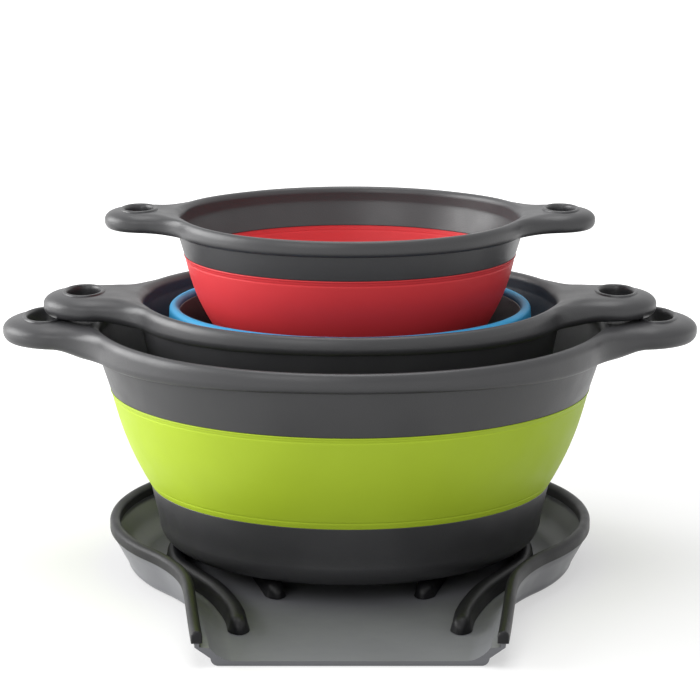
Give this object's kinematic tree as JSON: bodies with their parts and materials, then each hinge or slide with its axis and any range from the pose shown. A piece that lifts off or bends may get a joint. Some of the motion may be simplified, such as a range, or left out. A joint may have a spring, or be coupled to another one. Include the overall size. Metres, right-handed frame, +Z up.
{
  "type": "collapsible colander set",
  "caption": "Nesting collapsible colanders, each with a folding silicone wall and two ear handles, standing on a ribbed draining tray with an open spout.",
  "frame": {"origin": "on the tray's flat underside, on the common axis of the colanders", "axes": "+Z up along the colanders' axis, X through the ear handles, the tray's spout towards -Y"},
  "size_m": [0.388, 0.3412, 0.2014],
  "materials": {
    "grey_plastic": "satin moulded polypropylene",
    "lime_silicone": "satin silicone",
    "blue_silicone": "satin silicone",
    "red_silicone": "satin silicone",
    "tray_plastic": "semi-gloss moulded plastic",
    "dark_trim": "satin soft trim"
  },
  "bodies": {
    "tray": {"tray_shell": "tray_plastic", "tray_trim": "dark_trim", "outer_rib_left": "dark_trim", "outer_rib_right": "dark_trim", "inner_rib_left": "dark_trim", "inner_rib_right": "dark_trim"},
    "large_rim": {"large_rim": "grey_plastic", "large_band": "lime_silicone"},
    "large_base": {"large_base": "grey_plastic"},
    "medium_rim": {"medium_rim": "grey_plastic", "medium_band": "blue_silicone"},
    "medium_base": {"medium_base": "grey_plastic"},
    "small_rim": {"small_rim": "grey_plastic", "small_band": "red_silicone"},
    "small_base": {"small_base": "grey_plastic"}
  },
  "joints": [
    {"name": "large_lift", "type": "slide", "parent": "tray", "child": "large_rim", "axis": [0, 0, 1], "range_m": [0, 0.026]},
    {"name": "large_fold", "type": "slide", "parent": "large_rim", "child": "large_base", "axis": [0, 0, -1], "range_m": [-0.0831, 0], "deforming": ["large_band"]},
    {"name": "medium_lift", "type": "slide", "parent": "large_base", "child": "medium_rim", "axis": [0, 0, 1], "range_m": [0, 0.054]},
    {"name": "medium_open", "type": "slide", "parent": "medium_rim", "child": "medium_base", "axis": [0, 0, 1], "range_m": [-0.0841, 0], "deforming": ["medium_band"]},
    {"name": "small_lift", "type": "slide", "parent": "medium_rim", "child": "small_rim", "axis": [0, 0, 1], "range_m": [0, 0.061]},
    {"name": "small_fold", "type": "slide", "parent": "small_rim", "child": "small_base", "axis": [0, 0, -1], "range_m": [-0.0526, 0], "deforming": ["small_band"]}
  ]
}
